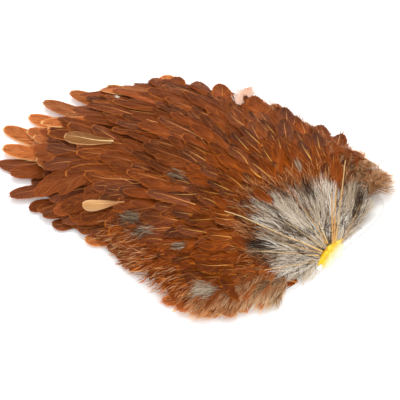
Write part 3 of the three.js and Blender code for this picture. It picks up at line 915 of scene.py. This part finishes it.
def build_bed():
    """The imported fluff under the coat's feathers, down to the skin."""
    turn = np.linspace(0, 2 * np.pi, 96)[None, :]
    out = np.linspace(0.0, 1.0, 26)[:, None]
    x, y = np.cos(turn), np.sin(turn)
    reach = out * outline_reach(x, y) * (0.86 - 0.16 * smooth(-x, 0.2, 0.9))
    px, py = reach * x, reach * y
    level = drooping_height(px, py) - BED_DEPTH + 0.4 * np.sin(px * 0.9) * np.sin(py * 1.1)
    level = level - 2.4 * smooth(out, 0.8, 1) * smooth(np.maximum(y, -x), 0.1, 0.5)
    level = mix(level, BED_LOWEST, smooth(out, 0.8, 1.0) * smooth(-x, 0.3, 0.8))
    top = np.stack([px, py, np.maximum(level, BED_LOWEST)], -1)
    wall = np.stack([px[-1] * 0.97, py[-1] * 0.97, np.full(px.shape[1], 2.1)], -1)[None]
    maps = np.stack([px / MAP_SPAN + 0.5, py / MAP_SPAN + 0.5], -1)
    make_sheet(
        "packed_fluff", "bed", "feather_coat",
        np.concatenate([top, wall]), np.concatenate([maps, maps[-1:] * 0.99]),
    )


# The rim
def is_over_skin(place):
    x = FOCUS[0] + (place[0] - SKIN_FORWARD - FOCUS[0]) / SKIN_SHARE
    y = FOCUS[1] + (place[1] - FOCUS[1]) / SKIN_SHARE
    return share_of_outline(x, y) < 1


def rim_layout():
    """The rim feathers' tips, headings, lengths and layers, the same as the solids'."""
    fine = curve_through(OUTLINE, 6000)
    gone = np.concatenate([[0], np.cumsum(np.linalg.norm(np.diff(fine, axis=0, append=fine[:1]), axis=1))])
    found = []
    for index in range(RIM_FEATHERS):
        share = mix(RIM_SPAN[0], RIM_SPAN[1], index / (RIM_FEATHERS - 1))
        end = fine[np.searchsorted(gone, share * gone[-1]) % len(fine)]
        layer = index % 2
        heading = float(heading_at(end)) + 2 * scatter(index, 1)
        way = direction(heading)
        to_root = RIM_TO_ROOT[0]
        while to_root < RIM_TO_ROOT[1] and not is_over_skin(end - way * (to_root + RIM_CLEAR)):
            to_root += 0.5
        to_root += RIM_HOLD * layer
        shorter = RIM_RAGGED * (1 + scatter(index, 2)) / 2
        found.append((end - way * shorter, heading, to_root - shorter, layer))
    return found


def build_rim():
    for index, (tip, heading, length, layer) in enumerate(rim_layout()):
        tail = float(smooth(tail_share(*tip), 0.5, 1))
        outward, aside = FINGER_MOVES.get(index, (0, 0))
        root = tip - length * direction(heading)
        tip = tip + outward * direction(heading) + aside * direction(heading - 90)
        heading = heading - 0.4 * math.degrees(math.atan2(aside, length)) + float(far_tail_turn(*tip))
        length = float((tip - root) @ direction(heading))
        bend = float((root - tip) @ direction(heading - 90)) / length
        place = tip[None]
        loose = float(looseness_at(place)[0])
        cells = cells_for(zone_of(place))
        at_near_flank = tip[0] > 20 and tip[1] < 0
        loose = max(loose, 0.14 * tail, float(mix(0.75, 0.9, smooth(tip[0], 50, 60))) * at_near_flank)
        if at_near_flank:
            cells = cells_for(np.array([FINGER_ROW]))
        if index + 1 == ORANGE_RIM_FEATHER:
            loose, cells = 0.1, cells_for(np.array([FINGER_ROW]))
        feather = Feathers(
            lambda x, y, base=RIM_LAYERS[layer] + 0.2: base + 0 * x,
            tips=place, headings=[heading], lengths=[length], base_widths=0.8,
            half_widths=[min(4.3 + 0.6 * loose + 0.7 * tail, 0.32 * length)], cells=cells,
            bends=[bend], sways=[rng.normal(0, 0.5)],
            rolls=[rng.normal(0, 0.03)], cups=0.3, curls=[0.4 + 0.5 * rng.random()], loosenesses=[loose],
        )
        surface = Surface()
        start = 0.05
        add_vanes(surface, feather, start, rows=14)
        add_barbs(surface, feather, start, per_side=int(length * 2.4), width=0.45)
        add_shafts(surface, feather, start, rows=12)
        name = f"rim_feather_{index + 1:02d}"
        surface.make("vane_of_" + name, MATERIALS["feather"], [name])


def build_lone_feather(name, material, slot, replaced, level, **parts):
    feather = LoneFeather(level, **parts)
    surface = Surface()
    add_vanes(surface, feather, 0.03, rows=16, columns=7)
    add_barbs(surface, feather, 0.03, per_side=64, width=0.45)
    add_shafts(surface, feather, 0.0, rows=16)
    surface.make(name, MATERIALS[material], [replaced])


def build_lone_feathers():
    """The cream feather, the olive one in the tail and the pale one that stands out of the far rim."""
    spec = CREAM_FEATHER
    tip = np.array([spec["x"], spec["y"]]) + direction(spec["heading"]) * spec["length"] / 2
    build_lone_feather(
        "cream_vane", "cream", "cream_feather", "cream_feather", coat_height,
        tips=tip[None], base_widths=0.1, headings=[spec["heading"]],
        lengths=[0.9 * spec["length"]], half_widths=[0.74 * spec["half_width"]],
        sinks=-CREAM_LIFT[0], lifts=CREAM_LIFT[1], cups=0.9, rolls=-0.12,
    )
    build_lone_feather(
        "olive_vane", "olive", "chestnut_feather", "feather_coat", drooping_height,
        tips=np.array([[-54.6, -16.6]]), headings=[13], lengths=[25], half_widths=[4.2], base_widths=0.35,
        sinks=-0.9, lifts=2.8, cups=0.7, sways=0.4,
    )
    build_lone_feather(
        "pale_rim_vane", "pale", "chestnut_feather", "feather_coat", drooping_height,
        tips=np.array([[2.5, 63.5]]), headings=[-84], lengths=[17], half_widths=[4.4], base_widths=0.6,
        sinks=-0.5, lifts=4.5, curls=2.0, cups=0.5, loosenesses=0.9,
    )


# The down at the front
DOWN_PATCHES = [  # places where the down is darker or lighter: x, y, size, how much darker
    (57, -24, 6.5, 0.55), (67, -31, 5, 0.25), (65, 12, 4, 0.34), (74, -14, 3, 0.4), (81, 28, 6, 0.45),
    (56, -10, 8, 0.1), (92, 22, 6, 0.4), (53, 2, 4, 0.3), (76, 8, 3, 0.25), (73, 17, 7, -0.08),
]
DOWN_BETWEEN = (-90, 66)  # the directions from the front tip in which the down lies
PLUMES = 350
PLUME_BARBS = 64
DARK_HAIRS = 1200
DOWN_SEED = 5  # picked for how its plumes fall, as is the next
CORNER_SEED = 24


def add_plumes(
    surface, roots, headings, lengths, levels, tones, opening=(34, 16), reach=(5.5, 3.5), width=0.2,
):
    """Plumes of silky barbs. levels gives the height at x, y for each plume's barbs."""
    count = len(roots)
    t = np.tile(np.linspace(0.0, 0.95, PLUME_BARBS), (count, 1))
    t = t + rng.normal(0, 0.02, (count, PLUME_BARBS))
    barb_side = np.where(np.arange(PLUME_BARBS) % 2, 1, -1)[None, :]
    barb_roots = roots[:, None] + direction(headings)[:, None] * (lengths[:, None] * t)[..., None]
    opened = barb_side * (opening[0] - opening[1] * t + rng.normal(0, 9, t.shape))
    barb_lengths = reach[0] + reach[1] * np.sin(np.clip(t, 0, 1) * 2.6)
    barb_lengths = barb_lengths * rng.uniform(0.7, 1.15, t.shape)
    flat, way, along = strand_spines(
        barb_roots.reshape(-1, 2), (headings[:, None] + opened).ravel(), barb_lengths.ravel(),
        turns=(-opened * 0.9).ravel(), waves=rng.uniform(2, 16, t.size),
    )
    plume = np.repeat(np.arange(count), PLUME_BARBS)[:, None]
    level = levels(flat[..., 0], flat[..., 1], along, plume)
    level = np.maximum(level + 0.6 * np.sin(along * 2.4) + rng.normal(0, 0.22, (t.size, 1)), 0.3)
    barb_tones = (tones[:, None] + rng.normal(0, 0.08, t.shape)).ravel()
    add_strands(surface, flat, level, way, width, barb_tones)


def build_down():
    """Plumes of silky down that radiate from the front tip, and dark hairs between them."""
    start_draws(DOWN_SEED)
    degrees = rng.uniform(*DOWN_BETWEEN, PLUMES)
    share = np.sqrt(rng.uniform(0.0, 1, PLUMES))
    lengths = rng.uniform(9, 14, PLUMES)
    distance = 1 + share * (plume_reach(degrees) + 2 * np.sin(degrees * 0.21) - lengths - 3)
    roots = place_from_tip(distance, degrees)
    headings = np.maximum(degrees + rng.normal(0, 13, PLUMES), -96)
    lifts = mix(-1.0, 0.5, share) + rng.normal(0, 0.4, PLUMES)
    side = smooth(np.abs(degrees), 45, 95)
    dark = rng.random(PLUMES) < 0.1 + 0.18 * share + 0.08 * side
    dark_tones, light_tones = rng.uniform(0.2, 0.45, PLUMES), rng.normal(0.83, 0.1, PLUMES)
    tones = np.where(dark, dark_tones, light_tones - 0.04 * side)
    middles = roots + direction(headings) * 0.5 * lengths[:, None]
    tones = tones + 0.08 * waviness(2.2 * middles[:, 0], 2.2 * middles[:, 1])
    for x, y, size, darkness in DOWN_PATCHES:
        tones = tones - darkness * np.exp(-((middles[:, 0] - x) ** 2 + (middles[:, 1] - y) ** 2) / size**2)
    surface = Surface()
    add_plumes(
        surface, roots, headings, lengths,
        lambda x, y, along, plume: drooping_height(x, y) + lifts[plume] + 0.4 * along, tones,
    )

    count = DARK_HAIRS
    degrees = rng.uniform(*DOWN_BETWEEN, count)
    distance = (plume_reach(degrees) + 2) * np.sqrt(rng.uniform(0.08, 1, count))
    flat, way, _ = strand_spines(
        place_from_tip(distance, degrees), degrees + rng.normal(0, 28, count), rng.uniform(4, 10, count),
        rng.normal(0, 45, count), rng.uniform(5, 30, count), steps=7,
    )
    level = coat_top(flat) + rng.uniform(0.3, 1.6, (count, 1))
    add_strands(surface, flat, level, way, HAIR_WIDTH, rng.uniform(0, 0.2, count))
    surface.make("front_down_plumes", MATERIALS["down"], ["front_down"])
    build_quills()


LONG_QUILLS = [  # direction from the front tip, start, length, half the thickness, how much it turns
    (-64, 5, 27, 0.6, 0), (-69, 7, 42, 0.44, 2), (-60, 5, 24, 0.52, 0), (-36, 6, 17, 0.34, 14),
    (-28, 6, 18, 0.34, 14), (-16, 3, 14, 0.22, 0), (2, 6, 20, 0.22, 4), (20, 5, 46, 0.5, -2),
    (45, 7, 30, 0.34, -2), (60, 11, 26, 0.36, -6), (-88, 8, 22, 0.2, 6), (33, 6, 20, 0.22, -4),
]
QUILL_STEPS = 12


def build_quills():
    """The long bare golden quills that run from the front tip into the feathers."""
    headings, starts, lengths, thick, turned = np.array(LONG_QUILLS, float).T
    roots = place_from_tip(starts, headings)
    thick = thick[:, None]
    t = np.linspace(0, 1, QUILL_STEPS)[None, :]
    way = headings[:, None] + turned[:, None] * (t - 0.3)
    step = direction(way) * (lengths / (QUILL_STEPS - 1))[:, None, None]
    flat = roots[:, None] + np.cumsum(step, 1) - step[:, :1]
    level = coat_top(flat) + 1.5 - 0.8 * (1 - t) ** 2 + 0.6 * t
    half = thick * (1 - 0.6 * t)
    side = direction(way + 90)
    rows = []
    for across, up in ((-1, -0.3), (-0.5, 0.6), (0.5, 0.6), (1, -0.3)):
        place = flat + side * (across * half)[..., None]
        rows.append(with_level(place, level + up * half))
    tone = rng.uniform(0.05, 0.95, (len(roots), 1, 1)) + np.array([-0.02, -0.01, 0.01, 0.02])
    maps = together(np.clip(tone, 0.02, 0.98), (t * 0.96 + 0.02)[..., None])
    surface = Surface()
    surface.add_grids(np.stack(rows, 2), maps)
    surface.make("front_quills", MATERIALS["quill"], ["front_down"])


def build_down_bed():
    turn = np.linspace(-98, 76, 60)[None, :]
    out = np.linspace(0.03, 1.1, 18)[:, None] * down_reach(turn)
    places = place_from_tip(out, turn)
    px, py = places[..., 0], places[..., 1]
    shrink = np.minimum(1, 0.88 / share_of_outline(px, py))
    px, py = px * shrink, py * shrink
    level = np.maximum(drooping_height(px, py) - 1.6 + 0.4 * np.sin(turn * 1.3), 1.6)
    maps = together((turn + 98) / 174, out / 64)
    make_sheet("front_down_bed", "down_bed", "front_down", np.stack([px, py, level], -1), maps)


def build_peeks():
    """Grey down that shows between the coat's feathers, and one tiny white tuft that is a painted glint."""
    surface = Surface()
    for x, y, heading, length, strands, lightness in DOWN_PEEKS:
        scattered = rng.normal(0, 1, (strands, 2)) * [0.2 * length, 0.11 * length]
        along, side = direction(heading), direction(heading - 90)
        roots = np.array([x, y]) + scattered[:, :1] * along + scattered[:, 1:] * side
        headings = heading + rng.normal(0, 8, strands)
        flat, way, t = strand_spines(
            roots, headings, rng.uniform(0.3, 0.8, strands) * length, rng.normal(0, 14, strands),
            np.full(strands, 9),
        )
        level = coat_top(flat) + rng.uniform(0.6, 1.9, (strands, 1))
        level = level + 0.4 * np.sin(t * 2.4)
        tones = lightness + rng.normal(0, 0.15, strands)
        add_strands(surface, flat, level, way, 0.2, tones)
    surface.make("down_between_feathers", MATERIALS["down"], ["feather_coat"])


# Fluff
GREY_FLUFF, TAN_FLUFF, GOLD_FLUFF = (0.0, 0.2), (0.24, 0.42), (0.6, 1.0)  # tones of the fluff
CORNERS = [  # name, directions and distances, inner and outer, plumes, shares of grey and gold, and how far
    # out in the outline's reach plumes may begin, along the rim and at the outer direction
    ("far_corner_fluff", (-60, -101), (30, 57), 640, 0.1, 0.08, (0.845, 0.925)),
    ("near_corner_fluff", (55, 83), (28, 61), 720, 0.34, 0.38, (0.92, 0.98)),
]
LOOSE_BARBS = 5200  # tried round the whole rim, of which those where barbs come loose are kept
BARBS_AT_DOWN = 700


def add_fluff(surface, roots, headings, lengths, tones):
    """Loose barbs at any level from the surface to the coat's top."""
    count = len(roots)
    flat, way, t = strand_spines(
        roots, headings, lengths, rng.normal(0, 18, count), rng.uniform(3, 14, count),
    )
    share = rng.uniform(0.1, 1.0, count)[:, None]
    ceiling = np.maximum(coat_top(flat) + 1.2, 0.8)
    ceiling = mix(ceiling, ceiling[:, :1], 0.65)
    level = np.maximum(ceiling * share * (1 - 0.35 * t * (1 - share)), 0.2)
    add_strands(surface, flat, level, way, HAIR_WIDTH, tones)


def build_fluff():
    """Golden barbs that have come loose at both side rims and round the down."""
    surface = Surface()
    ring = curve_through(OUTLINE, 4000)
    edge = ring[rng.integers(0, len(ring), LOOSE_BARBS)]
    x, y = edge[:, 0], edge[:, 1]
    near, far = smooth(-y, 20, 50) * smooth(x, -16, 6), smooth(y, 35, 55) * smooth(x, -10, 20)
    keep = rng.random(LOOSE_BARBS) < near + 0.5 * far
    edge = edge[keep & (x < 74)]
    count = len(edge)
    roots = edge * rng.uniform(0.8, 0.93, count)[:, None]
    headings = heading_at(roots) - np.where(roots[:, 1] < 0, 10, 0) + rng.normal(0, 12, count)
    tones = np.where(rng.random(count) < 0.22, rng.uniform(0.5, 0.6, count), rng.uniform(*GOLD_FLUFF, count))
    add_fluff(surface, roots, headings, rng.uniform(4, 10, count), tones)

    count = BARBS_AT_DOWN
    degrees = rng.uniform(*FEATHERS_BETWEEN, count)
    roots = place_from_tip(plume_reach(degrees) + rng.normal(0, 4, count), degrees)
    flat, way, _ = strand_spines(
        roots, degrees + rng.normal(0, 16, count), rng.uniform(5, 10, count), rng.normal(0, 20, count),
        rng.uniform(4, 16, count),
    )
    level = coat_top(flat) + rng.uniform(0.6, 2.0, (count, 1))
    tones = rng.uniform(0.52, 0.66, count)
    add_strands(surface, flat, level, way, HAIR_WIDTH, tones)
    surface.make("loose_fluff", MATERIALS["fluff"], ["feather_coat"])


def build_corners():
    """Tan, grey and golden plumes at both front corners."""
    start_draws(CORNER_SEED)
    for name, between, distances, count, grey_share, gold_share, limits in CORNERS:
        degrees = mix(*between, rng.random(count))
        share = rng.random(count)
        roots = place_from_tip(mix(*distances, share), degrees)
        outermost = smooth(np.abs(degrees), abs(between[1]) - 22, abs(between[1]) - 10)
        inside = share_of_outline(roots[:, 0], roots[:, 1]) < mix(*limits, outermost)
        degrees, share, roots, count = degrees[inside], share[inside], roots[inside], inside.sum()
        innermost = 1 - smooth(np.abs(degrees), abs(between[0]) + 2, abs(between[0]) + 14)
        draw = rng.random(count) + 0.35 * (0.5 - share) - 0.6 * innermost
        grey, tan, gold = (rng.uniform(*tone, count) for tone in (GREY_FLUFF, TAN_FLUFF, GOLD_FLUFF))
        tones = np.where(draw < gold_share, gold, np.where(draw > 1 - grey_share, grey, tan))
        heights = rng.uniform(0.4, 1.0, count)
        surface = Surface()
        add_plumes(
            surface, roots, degrees + rng.normal(0, 14, count), rng.uniform(7, 12, count),
            lambda x, y, along, plume: (drooping_height(x, y) + 2) * heights[plume] * (1 - 0.3 * along),
            tones, opening=(42, 20), reach=(4.2, 4.0), width=0.22,
        )
        surface.make(name, MATERIALS["fluff"], ["feather_coat"])


# The skin
def build_skin():
    turn = np.linspace(0, 2 * np.pi, 120)[None, :]
    out = np.linspace(0, 1, 40)[:, None]
    x, y = np.cos(turn), np.sin(turn)
    reach = out * outline_reach(x, y)
    px = FOCUS[0] + (reach * x - FOCUS[0]) * SKIN_SHARE + SKIN_FORWARD
    py = FOCUS[1] + (reach * y - FOCUS[1]) * SKIN_SHARE
    cockle = 0.18 * np.sin(px * 0.4) * np.sin(py * 0.37) + 0.1 * np.sin(px * 1.7 + py * 1.3)
    top = np.stack([px, py, SKIN_THICKNESS * (1 - 0.35 * out**6) + cockle * 0.5], -1)
    under = np.stack([px, py, np.maximum(0, 0.12 + cockle) * (1 - out**8)], -1)[::-1]
    places = np.concatenate([top, under])
    make_sheet("dried_skin_sheet", "skin", "skin", places, places[..., :2] / MAP_SPAN + 0.5)


YELLOW_REACH = (4.2, 10.5)  # half its size along and across the patch
YELLOW_PLACE = FOCUS + np.array([-1.6, 1.0])


def build_yellow_tip():
    turn = np.linspace(0, 2 * np.pi, 60)[None, :]
    out = np.linspace(0, 1, 16)[:, None]
    ragged = 1 + 0.12 * np.sin(turn * 5) + 0.08 * np.sin(turn * 9 + 1)
    px = YELLOW_PLACE[0] + YELLOW_REACH[0] * out * ragged * np.cos(turn)
    py = YELLOW_PLACE[1] + YELLOW_REACH[1] * out * ragged * np.sin(turn)
    lumps = 0.45 * np.sin(px * 1.9 + 1) * np.sin(py * 1.6) + 0.3 * np.sin(px * 3.7) * np.cos(py * 3.1)
    level = 1.1 + (2.0 + lumps) * (1 - out**2)
    maps = np.stack([(px - FOCUS[0]) / 14 + 0.7, (py - FOCUS[1]) / 26 + 0.5], -1)
    make_sheet("yellow_tip", "yellow", "skin", np.stack([px, py, level], -1), maps)


# Floor, lights and camera
def build_camera():
    azimuth, elevation = math.radians(CAMERA_AZIMUTH), math.radians(CAMERA_ELEVATION)
    flat = math.cos(elevation)
    back = Vector((math.sin(azimuth) * flat, -math.cos(azimuth) * flat, math.sin(elevation)))
    right = Vector((math.cos(azimuth), math.sin(azimuth), 0))
    aim = Vector((0, 0, 8)) + right * CAMERA_AIM[0] + back.cross(right) * CAMERA_AIM[1]
    data = bpy.data.cameras.new("camera")
    data.sensor_width = SENSOR_WIDTH
    data.lens = PIXELS_PER_MM * CAMERA_DISTANCE / PICTURE_WIDTH * SENSOR_WIDTH
    data.clip_start = 0.01
    camera = bpy.data.objects.new("camera", data)
    camera.location = (aim + back * CAMERA_DISTANCE) * MM
    camera.rotation_euler = back.to_track_quat("Z", "Y").to_euler()
    bpy.context.scene.collection.objects.link(camera)
    bpy.context.scene.camera = camera


def add_light(name, place, size, power):
    data = bpy.data.lights.new(name, "AREA")
    data.shape = "DISK"
    data.size = size
    data.energy = power
    light = bpy.data.objects.new(name, data)
    light.location = place
    light.rotation_euler = Vector(place).to_track_quat("Z", "Y").to_euler()
    bpy.context.scene.collection.objects.link(light)


FLOOR_SIZE = 8
FLOOR_BELOW = 0.0004
FLOOR_GREY = 0.94
FLOOR_GLOW = 0.14
SKY_STRENGTH = 0.98
LIGHTS = (("key", (-0.5, 0.6, 1.1), 0.7, 9), ("fill", (0.7, -0.8, 0.9), 0.9, 3))  # name, place, size, power


def build_studio():
    bpy.ops.mesh.primitive_plane_add(size=FLOOR_SIZE, location=(0, 0, -FLOOR_BELOW))
    floor = bpy.context.object
    floor.name = "floor"
    white = bpy.data.materials.new("pale_floor")
    white.use_nodes = True
    shader = white.node_tree.nodes["Principled BSDF"]
    shader.inputs["Base Color"].default_value = (FLOOR_GREY, FLOOR_GREY, FLOOR_GREY, 1)
    shader.inputs["Roughness"].default_value = 0.9
    shader.inputs["Specular IOR Level"].default_value = 0.1
    shader.inputs["Emission Color"].default_value = (1, 1, 1, 1)
    shader.inputs["Emission Strength"].default_value = FLOOR_GLOW
    floor.data.materials.append(white)
    world = bpy.data.worlds.new("soft_white")
    world.use_nodes = True
    sky = world.node_tree.nodes["Background"]
    sky.inputs["Color"].default_value = (1, 1, 1, 1)
    sky.inputs["Strength"].default_value = SKY_STRENGTH
    bpy.context.scene.world = world
    for name, place, size, power in LIGHTS:
        add_light(name, place, size, power)
    bpy.context.scene.view_settings.view_transform = "Standard"


MATERIALS = {
    "feather": material_with("feather_vane", feather_paint, 0.5, 0.25),
    "down": material_with("silky_down", down_paint, 0.6, 0.35),
    "fluff": material_with("ginger_fluff", fluff_paint, 0.6, 0.4),
    "quill": material_with("golden_quill", quill_paint, 0.35, 0.1, specular=0.4),
    "cream": material_with("cream_vane", cream_paint, 0.5, 0.25),
    "pale": material_with("pale_vane", pale_paint, 0.5, 0.5),
    "olive": material_with("olive_vane", olive_paint, 0.5, 0.25),
    "bed": material_with("packed_fluff", bed_paint, 0.9, 0.0),
    "down_bed": material_with("packed_down", down_bed_paint, 0.9, 0.0),
    "skin": material_with("dried_skin", skin_paint, 0.45, 0.2),
    "yellow": material_with("yellow_skin", yellow_paint, 0.35, 0.25, specular=0.4),
}

build_camera()
build_studio()
build_coat()
build_skirt()
build_bed()
build_rim()
build_lone_feathers()
build_down_bed()
build_down()
build_peeks()
build_fluff()
build_corners()
build_skin()
build_yellow_tip()
